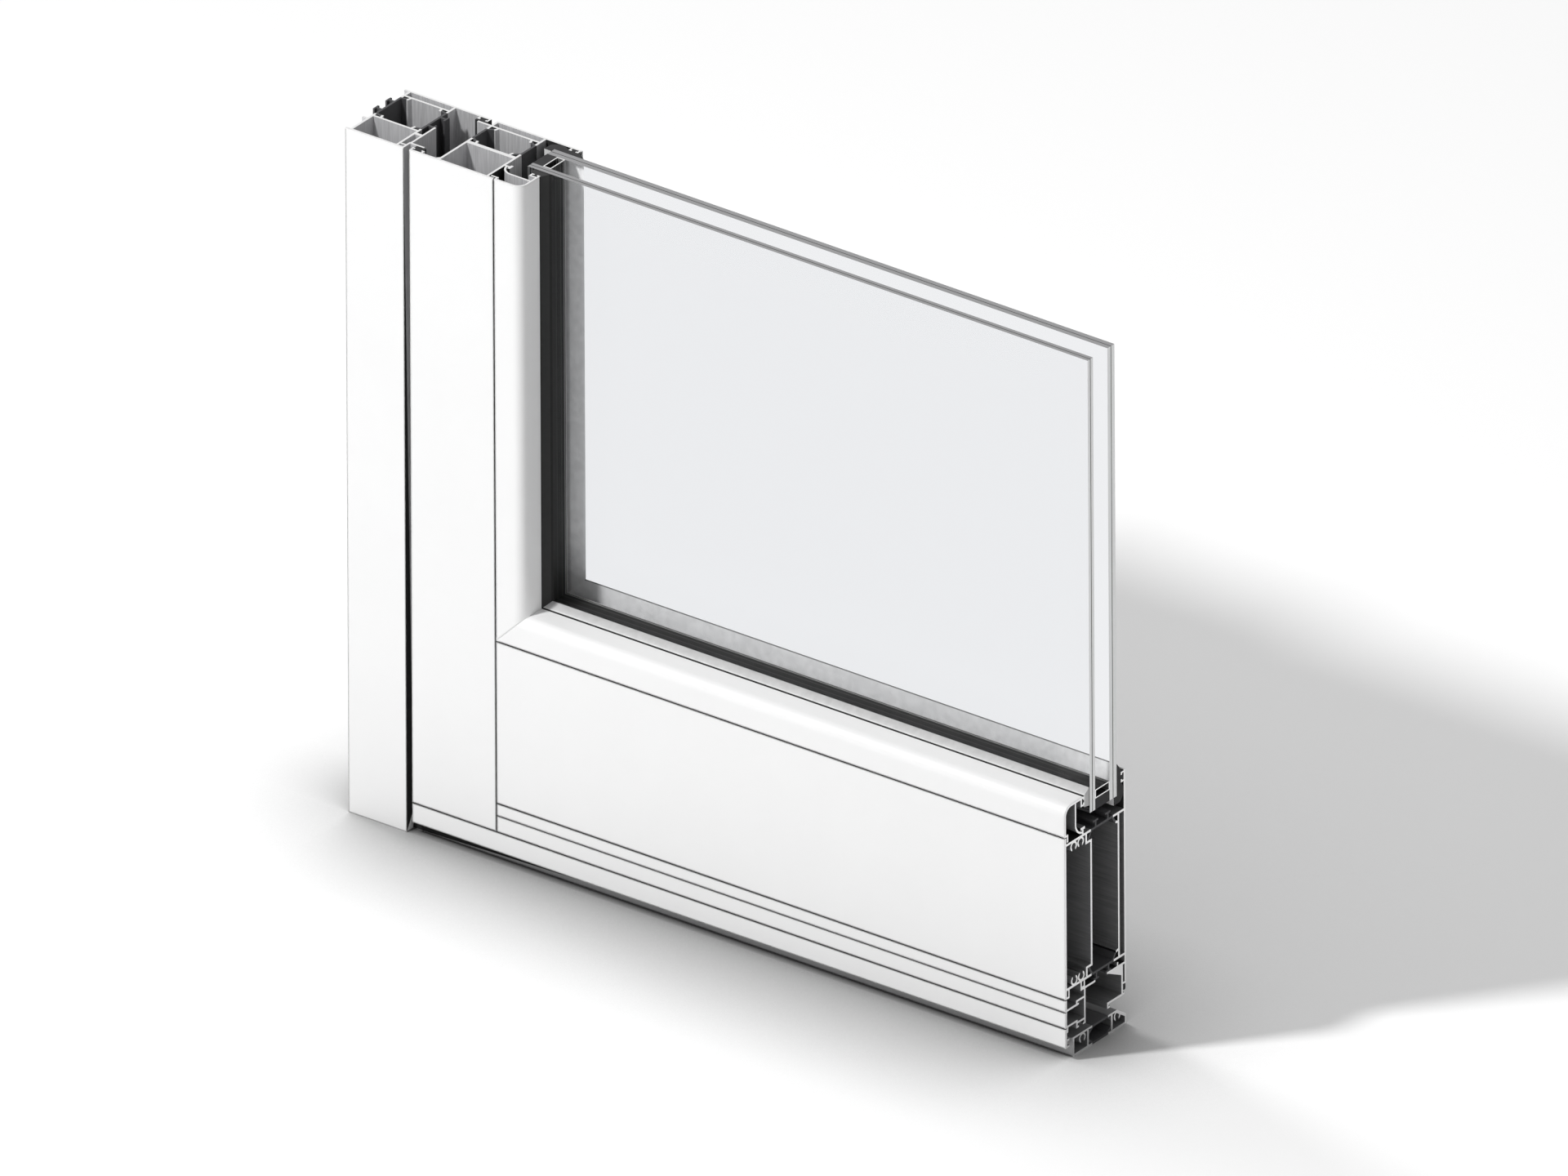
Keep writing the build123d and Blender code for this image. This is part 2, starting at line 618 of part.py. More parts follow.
def front_gasket_section():
    groove = (BEAD_HEIGHT - BEAD_GROOVE, BEAD_HEIGHT, BEAD_DEPTH - HOOK_WALL, BEAD_DEPTH + HOOK_WALL)
    low = groove[0] - HOOK_WALL
    body = [(low, groove[3]), (low - HOOK_WALL, glass_front)]
    body += [(BEAD_HEIGHT + FRONT_GASKET_RISE, glass_front), (BEAD_HEIGHT, BEAD_DEPTH)]
    body += [(BEAD_HEIGHT, groove[3])]
    return groove_foot(*groove) + outline(body)


def rear_gasket_section():
    """Gasket on the rear flange: a wedge against the pane, a hump and a toe round its edge."""
    low, high, base, tip = flange_groove()
    hump_low = (REAR_GASKET_TOE * 2, glass_rear + REAR_GASKET_TOE)
    hump_top = ((hump_low[0] + low) / 2, base - JOINT / 2)
    start = (low, tip)
    clear = GLASS_EDGE - JOINT / 2
    line = Polyline(
        start, (high, tip), (high, base - HOOK_WALL), (high + REAR_GASKET_RISE, glass_rear),
        (clear, glass_rear), (clear, glass_rear - REAR_GASKET_TOE),
        (hump_low[0], glass_rear - REAR_GASKET_TOE), hump_low,
    )
    body = make_face([line, ThreePointArc(hump_low, hump_top, start)])
    return body + groove_foot(low, high, base, tip)


def pane(front, thickness):
    low = (stile_right + GLASS_EDGE, front, rail_top + GLASS_EDGE)
    return space(low, (SAMPLE_WIDTH, front + thickness, SAMPLE_HEIGHT))


def front_pane():
    return [pane(glass_front, FRONT_SHEET), pane(front_pane_back - FRONT_SHEET, FRONT_SHEET)]


def rear_pane():
    return [pane(rear_pane_front, REAR_SHEET), pane(glass_rear - REAR_SHEET, REAR_SHEET)]


def glazing_corner(section):
    """An upright and a level run of one section, joined on the mitre."""
    return glazing_upright(section) + glazing_level(section)


def glazing_spacer():
    section = wall(spacer_low, front_pane_back, spacer_low + SPACER, rear_pane_front)
    hollow = (spacer_low + SPACER_WALL, front_pane_back + SPACER_WALL)
    section -= wall(*hollow, spacer_low + SPACER - SPACER_WALL, rear_pane_front - SPACER_WALL)
    return glazing_corner(section)


def edge_sealant():
    return glazing_corner(wall(GLASS_EDGE, front_pane_back, spacer_low, rear_pane_front))


def setting_blocks():
    front = glass_front + BLOCK_SIDE
    rear = glass_rear - REAR_GASKET_TOE - BLOCK_SIDE
    first = BLOCK_OFFSET
    lower = Pos(rail_top, 0) * wall(LEG_REACH, front, GLASS_EDGE, rear)
    side = Pos(stile_right, 0) * wall(0, front, GLASS_EDGE, rear)
    return [
        level(lower, stile_right + first, stile_right + first + BLOCK_LENGTH),
        upright(side, rail_top + first, rail_top + first + BLOCK_LENGTH),
    ]


# Threshold

def threshold_front_section():
    top = THRESHOLD_HEIGHT
    section = wall(0, THRESHOLD_FRONT, top, THRESHOLD_FRONT + SKIN)
    section += wall(top - SKIN, THRESHOLD_FRONT, top, THRESHOLD_TIP)
    section += wall(0, THRESHOLD_FRONT, SKIN, THRESHOLD_TIP)
    section += wall(0, THRESHOLD_WEB, top, THRESHOLD_WEB + WALL)
    return section + screw_port(top - SKIN - PORT_RADIUS - HOOK_WALL / 2, THRESHOLD_PORT_FRONT, -1)


def threshold_rear_section():
    top = THRESHOLD_HEIGHT
    slope_depth = SYSTEM_DEPTH - THRESHOLD_SLOPE
    section = wall(0, threshold_rear_web, top, threshold_rear_web + WALL)
    section += wall(0, threshold_rear_tip, SKIN, SYSTEM_DEPTH)
    section += wall(top - SKIN, threshold_rear_tip, top, slope_depth)
    section += wall(0, rear_skin, THRESHOLD_REAR_HEIGHT, SYSTEM_DEPTH)
    slope = [(top, slope_depth), (top - SKIN, slope_depth - SKIN)]
    slope += [(THRESHOLD_REAR_HEIGHT - SKIN, rear_skin), (THRESHOLD_REAR_HEIGHT, SYSTEM_DEPTH)]
    section += outline(slope)
    port = SYSTEM_DEPTH - THRESHOLD_PORT_REAR
    return section + screw_port(top - SKIN - PORT_RADIUS - HOOK_WALL / 2, port, -1)


def threshold_bar():
    """Polyamide bar of the threshold, with its outer face at zero across."""
    centre = BAR_WALL / 2
    inset = CLAW_INSET
    line = [(inset, THRESHOLD_WEB + WALL), (centre, THRESHOLD_TIP + centre)]
    line += [(centre, threshold_rear_tip - centre), (inset, threshold_rear_web)]
    return strip(line, BAR_WALL)


def threshold_bar_cut(section):
    return section - threshold_front_section() - threshold_rear_section()


def threshold_front():
    return level(threshold_front_section(), jamb_right, SAMPLE_WIDTH)


def threshold_rear():
    return level(threshold_rear_section(), jamb_right, SAMPLE_WIDTH)


def threshold_thermal_bar_lower():
    return level(threshold_bar_cut(threshold_bar()), jamb_right, SAMPLE_WIDTH)


def threshold_thermal_bar_upper():
    return level(threshold_bar_cut(flipped(threshold_bar(), THRESHOLD_HEIGHT)), jamb_right, SAMPLE_WIDTH)


pieces = {
    "jamb_front": jamb_front(),
    "jamb_rear": jamb_rear(),
    "jamb_thermal_bar_outer": jamb_thermal_bar_outer(),
    "jamb_thermal_bar_inner": jamb_thermal_bar_inner(),
    "jamb_rear_gasket": jamb_rear_gasket(),
    "stile_front": stile_front(),
    "stile_rear": stile_rear(),
    "stile_thermal_bar_outer": stile_thermal_bar_outer(),
    "stile_thermal_bar_inner": stile_thermal_bar_inner(),
    "stile_front_gasket": stile_front_gasket(),
    "rail_front": rail_front(),
    "rail_rear": rail_rear(),
    "rail_thermal_bar_lower": rail_thermal_bar_lower(),
    "rail_thermal_bar_upper": rail_thermal_bar_upper(),
    "rail_front_foot": rail_front_foot(),
    "rail_rear_foot": rail_rear_foot(),
    "rear_foot_seal": rear_foot_seal(),
    "drip_strip": drip_strip(),
    "bead_upright": glazing_upright(bead_section()),
    "bead_level": glazing_level(bead_section()),
    "front_glazing_gasket_upright": glazing_upright(front_gasket_section()),
    "front_glazing_gasket_level": glazing_level(front_gasket_section()),
    "rear_glazing_gasket_upright": glazing_upright(rear_gasket_section()),
    "rear_glazing_gasket_level": glazing_level(rear_gasket_section()),
    "front_pane": Compound(children=front_pane()),
    "front_interlayer": pane(glass_front + FRONT_SHEET, INTERLAYER),
    "rear_pane": Compound(children=rear_pane()),
    "rear_interlayer": pane(rear_pane_front + REAR_SHEET, INTERLAYER),
    "glazing_spacer": glazing_spacer(),
    "edge_sealant": edge_sealant(),
    "setting_blocks": Compound(children=setting_blocks()),
    "threshold_front": threshold_front(),
    "threshold_rear": threshold_rear(),
    "threshold_thermal_bar_lower": threshold_thermal_bar_lower(),
    "threshold_thermal_bar_upper": threshold_thermal_bar_upper(),
}

wall_side = jamb_left - LEG_REACH
middle = ((wall_side + SAMPLE_WIDTH) / 2, SYSTEM_DEPTH / 2)
os.makedirs("parts", exist_ok=True)
for name, shape in pieces.items():
    export_step(Pos(-middle[0], -middle[1], 0) * shape, os.path.join("parts", name + ".step"))
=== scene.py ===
import json
import math

import bpy
from mathutils import Matrix, Vector
from mathutils.bvhtree import BVHTree


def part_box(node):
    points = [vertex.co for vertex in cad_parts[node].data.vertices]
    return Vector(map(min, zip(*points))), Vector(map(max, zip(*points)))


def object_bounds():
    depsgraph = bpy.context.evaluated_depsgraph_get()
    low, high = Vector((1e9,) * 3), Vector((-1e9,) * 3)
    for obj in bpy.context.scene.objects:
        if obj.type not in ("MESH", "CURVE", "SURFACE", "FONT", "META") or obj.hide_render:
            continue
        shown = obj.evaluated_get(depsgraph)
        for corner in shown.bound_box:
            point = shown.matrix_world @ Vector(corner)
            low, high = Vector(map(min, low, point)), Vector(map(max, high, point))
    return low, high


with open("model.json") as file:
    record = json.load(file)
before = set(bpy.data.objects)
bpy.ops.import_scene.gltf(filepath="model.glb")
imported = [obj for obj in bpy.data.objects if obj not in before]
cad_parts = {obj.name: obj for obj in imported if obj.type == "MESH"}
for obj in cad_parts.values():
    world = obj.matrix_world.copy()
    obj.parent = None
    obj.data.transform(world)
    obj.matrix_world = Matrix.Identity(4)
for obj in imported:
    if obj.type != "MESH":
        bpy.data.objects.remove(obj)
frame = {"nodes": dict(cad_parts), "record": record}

cad_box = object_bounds()
nodes = frame["nodes"]
slot_of = {part["node"]: part["material_slot"] for part in frame["record"]["subparts"]}

# The camera looks along parallel rays, as the photograph does. Its angles and scale come
# from the photograph's edges; the aim is the point of the object in the picture's centre.
CAMERA_AZIMUTH = math.radians(36.94)
CAMERA_ELEVATION = math.radians(28.02)
CAMERA_ROLL = math.radians(-0.288)
CAMERA_SCALE = 1.1203
CAMERA_DISTANCE = 4.0
AIM_RIGHT = 0.31186
AIM_UP = 0.15840

# Light: a key lamp at the front left, a weak fill from the left, and a pale even sky. The key
# stands where the two ends of the object's shadow in the photograph meet again.
KEY_FROM_CORNER = (-0.334, -1.150, 1.730)
KEY_POWER = 30.0
KEY_RADIUS = 0.10
FILL_TRAVEL = (1.0, -0.2, -0.8)
FILL_STRENGTH = 0.8
FILL_ANGLE = math.radians(14.0)
SKY_TONE = (0.8, 0.8, 0.8, 1.0)
SKY_STRENGTH = 0.5

# Floor: its half width, its tone, what is added where it is seen, its tone behind glass, and
# the reach and power of the two soft shades round whatever stands on it
FLOOR_HALF = 15.0
FLOOR_TONE = 0.85
FLOOR_GLOW = 0.12
BEHIND_GLASS = (0.888, 0.895, 0.908, 1.0)
NEAR_REACH, NEAR_POWER = 0.14, 1.0
WIDE_REACH, WIDE_POWER = 0.5, 0.5

# Where the powder reached: a face is coated if enough rays leave it freely across its section
FAN = [math.radians(turn) for turn in (-60, -40, -20, 0, 20, 40, 60)]
FAN_REACH = 0.3
COATED_SHARE = 0.5
JOINT_WIDTH = 0.006
SLIT_WIDTH = 0.002
TOUCH = 1e-5

# How squarely a face looks along an axis to be a sawn end, a seal's lip, or a sheet's edge
END_ON = 0.99
LIP_ON = 0.9
EDGE_ON = 0.5

# The fine dark line at the edges of the coat, painted shade: its reach, the cosine of the bevel's turn where
# it starts and where it is full, and how near to a sawn end or a mitre it is left out
EDGE_REACH = 0.0019
EDGE_START, EDGE_FULL = 0.995, 0.95
CUT_MARGIN = 0.001
MITRE_MARGIN = 0.002

# Colours, linear
WHITE_COAT = (0.85, 0.85, 0.85, 1.0)
THRESHOLD_GREY = (0.52, 0.52, 0.525, 1.0)
PAINTED_EDGE_SHADE = (0.04, 0.04, 0.04, 1.0)
POLYAMIDE_DARK = (0.045, 0.045, 0.048, 1.0)
POLYAMIDE_LIGHT = (0.075, 0.075, 0.08, 1.0)
RUBBER_DARK = (0.018, 0.018, 0.019, 1.0)
RUBBER_LIGHT = (0.032, 0.032, 0.033, 1.0)
BLOOM_DARK = (0.6, 0.6, 0.6, 1.0)
CLEAR = (1.0, 1.0, 1.0, 1.0)
GLASS_END_TONE = (0.85, 0.86, 0.86, 1.0)
# Painted shade: the sheets' top edges are a dark grey, against the pale ground ends.
GLASS_TOP_PAINTED_SHADE = (0.26, 0.26, 0.265, 1.0)
FILM_EDGE_TONE = (0.03, 0.03, 0.03, 1.0)
# Mill tones for the insides of extrusions; the darker one is painted shade on the level pieces' insides.
BRIGHT_MILL = ((0.50, 0.50, 0.51, 1.0), (0.68, 0.68, 0.69, 1.0))
MILL_PAINTED_SHADE = ((0.18, 0.18, 0.185, 1.0), (0.26, 0.26, 0.265, 1.0))
# Painted shade on the walls of narrow joints: near black.
JOINT_DARK, JOINT_LIGHT = (0.02, 0.02, 0.02, 1.0), (0.032, 0.032, 0.032, 1.0)
SAWN = (0.95, 0.95, 0.95, 1.0)
BLOCK_DARK = (0.035, 0.035, 0.038, 1.0)

# Sheet glass: a Principled shader lets through the root of its colour at each face
GLASS_TINT = (0.968, 0.970, 0.973, 1.0)
GLASS_LET_THROUGH = tuple(math.sqrt(c) for c in GLASS_TINT[:3]) + (1.0,)
GLASS_BEND = 1.001
GLASS_GLOSS = 1.12

# Where a pane's face lets lamplight by to the rear seal's lip: how far above the lip, and how
# far short of the cut end, past which such light would reach the floor
FRONT_PANE_CLEAR = (0.045, 0.028)
REAR_PANE_CLEAR = (0.013, 0.009)
LIP_CLEAR = (0.0, -0.001)
TRANSPARENT_BOUNCES = 24

# Greys across the lips of the seals and the bands of the spacer, as the photograph shows them:
# each stop is its share of the way across, and its tone. These greys paint light and shade.
# Painted light: the level front seal's slope is a lit grey, with a painted highlight near its low edge,
# between near-black lines.
LEVEL_SLOPE_PAINTED_LIGHT = [
    (0.0, 0.015), (0.25, 0.015), (0.29, 0.8), (0.4, 0.62), (0.6, 0.56), (0.9, 0.5), (0.94, 0.02),
    (1.0, 0.015),
]
# Painted shade: the upright front seal's slope stays near black.
UPRIGHT_SLOPE_PAINTED_SHADE = [(0.0, 0.012), (0.2, 0.012), (0.25, 0.03), (0.8, 0.034), (0.86, 0.012), (1.0, 0.02)]
# Painted shade: the spacer is near black, with painted light lines towards its rear.
SPACER_PAINTED_SHADE_BANDS = [
    (0.0, 0.02), (0.3, 0.02), (0.34, 0.05), (0.38, 0.015), (0.62, 0.02), (0.66, 0.06), (0.7, 0.015),
    (0.84, 0.02), (0.88, 0.35), (0.91, 0.04), (0.94, 0.04), (0.97, 0.45), (1.0, 0.5),
]
# Painted light: the rear seals' faces that lie on the rear pane are pale to white.
UPRIGHT_LIP_PAINTED_LIGHT = [(0.0, 0.75), (0.2, 0.75), (0.3, 0.95), (0.86, 0.95), (0.9, 1.0), (1.0, 1.0)]
LEVEL_LIP_PAINTED_LIGHT = [(0.0, 1.0), (0.93, 1.0), (0.95, 0.3), (1.0, 0.3)]
LIP_WIDTH = 0.018


class Nodes:
    """Short calls for building one material's nodes."""

    def __init__(self, name):
        self.material = bpy.data.materials.new(name)
        self.material.use_nodes = True
        self.tree = self.material.node_tree
        self.tree.nodes.clear()
        self.out = self.add("ShaderNodeOutputMaterial")

    def add(self, kind, inputs=None, **settings):
        node = self.tree.nodes.new(kind)
        for key, value in settings.items():
            setattr(node, key, value)
        for key, value in (inputs or {}).items():
            if isinstance(value, bpy.types.NodeSocket):
                self.tree.links.new(value, node.inputs[key])
            else:
                node.inputs[key].default_value = value
        return node

    def shade(self, shader):
        self.tree.links.new(shader.outputs[0], self.out.inputs["Surface"])
        return self.material

    def principled(self, inputs):
        return self.shade(self.add("ShaderNodeBsdfPrincipled", inputs))

    def maths(self, operation, *values):
        return self.add("ShaderNodeMath", dict(enumerate(values)), operation=operation).outputs[0]

    def place(self):
        """Position in the row frame, in metres."""
        return self.add("ShaderNodeNewGeometry").outputs["Position"]

    def along(self, axis):
        return self.add("ShaderNodeSeparateXYZ", {"Vector": self.place()}).outputs[axis]

    def share(self, value, low, high):
        """How far a value is from low to high, from 0 to 1."""
        inputs = {"Value": value, "From Min": low, "From Max": high}
        return self.add("ShaderNodeMapRange", inputs).outputs["Result"]

    def spread(self, factor, low, high):
        """A value that runs from low to high with a factor."""
        inputs = {"Value": factor, "To Min": low, "To Max": high}
        return self.add("ShaderNodeMapRange", inputs).outputs["Result"]

    def bands(self, axis, low, high, stops):
        """Grey tones that run from stop to stop between two places on an axis."""
        ramp = self.add("ShaderNodeValToRGB", {"Fac": self.share(self.along(axis), low, high)})
        points = ramp.color_ramp.elements
        while len(points) < len(stops):
            points.new(0.5)
        for point, (where, grey) in zip(points, stops):
            point.position = where
            point.color = (grey, grey, grey, 1.0)
        return ramp.outputs["Color"]

    def noise(self, scale, detail=2.0, stretch=(1.0, 1.0, 1.0)):
        """Fine noise of the given scale per metre, drawn out along an axis by a small stretch."""
        mapped = self.add("ShaderNodeMapping", {"Vector": self.place(), "Scale": stretch})
        inputs = {"Vector": mapped.outputs[0], "Scale": scale, "Detail": detail}
        return self.add("ShaderNodeTexNoise", inputs).outputs["Fac"]

    def ramp(self, factor, low, high, start=0.3, end=0.7):
        ramp = self.add("ShaderNodeValToRGB", {"Fac": factor})
        for point, where, colour in zip(ramp.color_ramp.elements, (start, end), (low, high)):
            point.position = where
            point.color = colour
        return ramp.outputs["Color"]

    def mixed(self, factor, first, second, blend="MIX"):
        """Two colours mixed."""
        inputs = {0: factor, 6: first, 7: second}
        return self.add("ShaderNodeMix", inputs, data_type="RGBA", blend_type=blend).outputs[2]

    def relief(self, height, depth, strength, base=None):
        inputs = {"Height": height, "Distance": depth, "Strength": strength}
        if base is not None:
            inputs["Normal"] = base
        return self.add("ShaderNodeBump", inputs).outputs["Normal"]

    def nearness(self, reach, power):
        """1 in the open, falling towards anything that stands within reach."""
        free = self.add("ShaderNodeAmbientOcclusion", {"Distance": reach}, samples=10)
        return self.maths("POWER", free.outputs["AO"], power)

    def soft_edges(self, radius):
        return self.add("ShaderNodeBevel", {"Radius": radius}, samples=4).outputs["Normal"]


def powder_coat(name, colour=WHITE_COAT, mitre=None):
    """Matt powder coat with a fine orange peel, soft edges, and a fine dark line of painted shade along
    them.

    mitre is the height less the place across of a mitre's plane, where no line is drawn."""
    m = Nodes(name)
    soft = m.soft_edges(EDGE_REACH)
    peel = m.relief(m.noise(900.0), 0.00004, 0.35, soft)
    tone = m.ramp(m.noise(14.0, 3.0), tuple(0.985 * c for c in colour[:3]) + (1.0,), colour)
    flat = m.add("ShaderNodeNewGeometry").outputs["True Normal"]
    turn = m.add("ShaderNodeVectorMath", {0: soft, 1: flat}, operation="DOT_PRODUCT").outputs["Value"]
    # Painted shade: a dark line along the coat's edges, where the bevel turns.
    edge = m.share(turn, EDGE_START, EDGE_FULL)
    for axis, end in (("X", cad_box[1][0]), ("Z", cad_box[1][2])):
        edge = m.maths("MULTIPLY", edge, m.maths("LESS_THAN", m.along(axis), end - CUT_MARGIN))
    if mitre is not None:
        slant = m.maths("SUBTRACT", m.along("Z"), m.along("X"))
        beside = m.maths("COMPARE", slant, mitre, MITRE_MARGIN)
        edge = m.maths("MULTIPLY", edge, m.maths("SUBTRACT", 1.0, beside))
    return m.principled({
        "Base Color": m.mixed(edge, tone, PAINTED_EDGE_SHADE), "Roughness": m.spread(m.noise(60.0, 3.0), 0.38, 0.5),
        "Normal": peel, "Specular IOR Level": 0.4,
    })


def polyamide():
    """Matt glass-filled plastic with faint pale fibres."""
    m = Nodes("grey_polyamide")
    fibre = m.noise(2200.0, 4.0)
    return m.principled({
        "Base Color": m.ramp(fibre, POLYAMIDE_DARK, POLYAMIDE_LIGHT, 0.4, 0.75),
        "Roughness": m.spread(fibre, 0.5, 0.68),
        "Normal": m.relief(fibre, 0.00003, 0.5, m.soft_edges(0.0003)),
    })


def rubber(name):
    """Matt black extruded rubber with a dull bloom."""
    m = Nodes(name)
    bloom = m.noise(180.0, 4.0)
    return m.principled({
        "Base Color": m.ramp(bloom, RUBBER_DARK, RUBBER_LIGHT), "Roughness": m.spread(bloom, 0.45, 0.62),
        "Normal": m.relief(m.noise(3000.0), 0.00002, 0.4, m.soft_edges(0.0003)),
        "Specular IOR Level": 0.2,
    })


def banded_rubber(name, axis, low, high, stops):
    """Extruded rubber or plastic in tones across one axis, running lengthways; the tones paint light and
    shade onto its lips and bands.
    """
    m = Nodes(name)
    bloom = m.noise(180.0, 4.0)
    bands = m.bands(axis, low, high, stops)
    return m.principled({
        "Base Color": m.mixed(0.35, bands, m.ramp(bloom, BLOOM_DARK, CLEAR), "MULTIPLY"),
        "Roughness": m.spread(bloom, 0.45, 0.62),
        "Normal": m.relief(m.noise(3000.0), 0.00002, 0.4), "Specular IOR Level": 0.2,
    })


def mill_aluminium(name, tones, stretch):
    """Uncoated inside of an extrusion, with faint die lines."""
    m = Nodes(name)
    lines = m.noise(1100.0, 4.0, stretch)
    return m.principled({
        "Base Color": m.ramp(lines, *tones), "Metallic": 0.3, "Roughness": m.spread(lines, 0.42, 0.58),
        "Normal": m.relief(lines, 0.00003, 0.4),
    })


def painted_joint_shade():
    """Painted shade: near black on the walls of a narrow joint."""
    m = Nodes("painted_joint_shade")
    return m.principled({
        "Base Color": m.ramp(m.noise(700.0, 3.0), JOINT_DARK, JOINT_LIGHT), "Roughness": 0.7,
        "Specular IOR Level": 0.1,
    })


def sawn_aluminium():
    """Bright sawn end with fine saw marks."""
    m = Nodes("sawn_aluminium")
    marks = m.noise(2600.0, 2.0, (1.0, 0.12, 1.0))
    return m.principled({
        "Base Color": SAWN, "Metallic": 1.0, "Roughness": m.spread(marks, 0.3, 0.42),
        "Normal": m.relief(marks, 0.00003, 0.3),
    })


def block_plastic():
    """Dark moulded plastic."""
    m = Nodes("dark_block_plastic")
    tone = m.ramp(m.noise(900.0), BLOCK_DARK, POLYAMIDE_LIGHT)
    return m.principled({"Base Color": tone, "Roughness": 0.5})


def sheet_glass(name, rise, short):
    """Glass that blocks lamps, as in the photograph, except beside the rear seal's lip.

    It lets them by unbent up to a rise above the lip, and to a little short of the cut end."""
    m = Nodes(name)
    lip_x, lip_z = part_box("rear_glazing_gasket_upright")[1].x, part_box("rear_glazing_gasket_level")[1].z
    below = m.maths("LESS_THAN", m.along("Z"), lip_z + rise)
    inside = m.maths("LESS_THAN", m.along("X"), cad_box[1][0] - short)
    beside = m.maths("LESS_THAN", m.along("X"), lip_x)
    open_to_lamps = m.maths("MAXIMUM", beside, m.maths("MULTIPLY", below, inside))
    glass = m.add("ShaderNodeBsdfPrincipled", {
        "Base Color": GLASS_TINT, "Roughness": 0.0, "IOR": GLASS_BEND, "Transmission Weight": 1.0,
        "Coat Weight": 1.0, "Coat IOR": GLASS_GLOSS, "Coat Roughness": 0.0,
    })
    clear = m.add("ShaderNodeBsdfTransparent", {"Color": GLASS_LET_THROUGH})
    inputs = {0: open_to_lamps, 1: glass.outputs[0], 2: clear.outputs[0]}
    return m.shade(m.add("ShaderNodeMixShader", inputs))


def ground_edge(name, tone):
    """Ground edge of a sheet, or the trimmed edge of the film between two sheets."""
    m = Nodes(name)
    grain = m.noise(2500.0, 3.0)
    pale = tuple(1.15 * c for c in tone[:3]) + (1.0,)
    return m.principled({
        "Base Color": m.ramp(grain, tone, pale), "Roughness": 0.35,
        "Normal": m.relief(grain, 0.00002, 0.5),
    })


def clear_film():
    """The film is clear where it lies between the sheets."""
    m = Nodes("clear_film")
    return m.shade(m.add("ShaderNodeBsdfTransparent", {"Color": CLEAR}))


def floor_material():
    """Pale matt floor; what the camera sees of it is a little paler, as in a studio sweep."""
    m = Nodes("studio_floor")
    rays = m.add("ShaderNodeLightPath")
    seen = m.maths("MAXIMUM", rays.outputs["Is Camera Ray"], rays.outputs["Is Glossy Ray"])
    near, wide = m.nearness(NEAR_REACH, NEAR_POWER), m.nearness(WIDE_REACH, WIDE_POWER)
    # Painted shade: the floor's tone and glow darken towards whatever stands on it.
    painted_contact_shade = m.maths("MULTIPLY", near, wide)
    glow = m.maths("MULTIPLY", m.maths("MULTIPLY", seen, painted_contact_shade), FLOOR_GLOW)
    matt = m.add("ShaderNodeBsdfDiffuse", {"Color": m.spread(painted_contact_shade, 0.0, FLOOR_TONE)})
    lit = m.add("ShaderNodeEmission", {"Strength": glow})
    seen_open = m.add("ShaderNodeAddShader", {0: matt.outputs[0], 1: lit.outputs[0]})
    behind_glass = m.add("ShaderNodeEmission", {"Color": BEHIND_GLASS, "Strength": 1.0})
    return m.shade(m.add("ShaderNodeMixShader", {
        0: rays.outputs["Is Transmission Ray"], 1: seen_open.outputs[0], 2: behind_glass.outputs[0],
    }))


# The level bead and the upright bead meet on a plane at 45 degrees
bead_coat = powder_coat("white_bead_coat", mitre=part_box("bead_level")[1].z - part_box("bead_upright")[1].x)
threshold_coat = powder_coat("grey_threshold_coat", THRESHOLD_GREY)
white_coat = powder_coat("white_powder_coat")
coats = {
    "bead_level": bead_coat, "bead_upright": bead_coat,
    "threshold_front": threshold_coat, "threshold_rear": threshold_coat,
}
# The level pieces' insides get the darker mill, as painted shade.
mill = {
    "X": mill_aluminium("mill_aluminium_painted_shade", MILL_PAINTED_SHADE, (0.04, 1.0, 1.0)),
    "Z": mill_aluminium("bright_mill_aluminium", BRIGHT_MILL, (1.0, 1.0, 0.04)),
}
sawn = sawn_aluminium()
joint = painted_joint_shade()
film = clear_film()
front_glass = sheet_glass("front_pane_glass", *FRONT_PANE_CLEAR)
pane_faces = {
    "front_pane": (front_glass, front_glass),
    "rear_pane": (sheet_glass("rear_pane_glass", *REAR_PANE_CLEAR), sheet_glass("bedded_glass", *LIP_CLEAR)),
}
film_edge = ground_edge("film_edge", FILM_EDGE_TONE)
sheet_edges = {
    "clear_glass": (
        ground_edge("ground_glass_end", GLASS_END_TONE), ground_edge("ground_glass_top_painted_shade", GLASS_TOP_PAINTED_SHADE),
    ),
    "clear_interlayer": (film_edge, film_edge),
}
finishes = {
    "grey_polyamide": polyamide(),
    "black_gasket": rubber("black_rubber"),
    "black_sealant": rubber("black_sealant"),
    "block_plastic": block_plastic(),
}
slope_box, space_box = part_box("front_glazing_gasket_level"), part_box("glazing_spacer")
spacer_shade_material = banded_rubber("spacer_painted_shade", "Y", space_box[0].y, space_box[1].y, SPACER_PAINTED_SHADE_BANDS)
slopes = {
    "front_glazing_gasket_level": banded_rubber(
        "level_front_seal_painted_light", "Y", slope_box[0].y, slope_box[1].y, LEVEL_SLOPE_PAINTED_LIGHT),
    "front_glazing_gasket_upright": banded_rubber(
        "upright_front_seal_painted_shade", "Y", slope_box[0].y, slope_box[1].y, UPRIGHT_SLOPE_PAINTED_SHADE),
}
lip_end_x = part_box("rear_glazing_gasket_upright")[1].x
lip_end_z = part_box("rear_glazing_gasket_level")[1].z
lips = {
    "rear_glazing_gasket_level": banded_rubber(
        "level_rear_lip_painted_light", "Z", lip_end_z - LIP_WIDTH, lip_end_z, LEVEL_LIP_PAINTED_LIGHT),
    "rear_glazing_gasket_upright": banded_rubber(
        "upright_rear_lip_painted_light", "X", lip_end_x - LIP_WIDTH, lip_end_x, UPRIGHT_LIP_PAINTED_LIGHT),
}


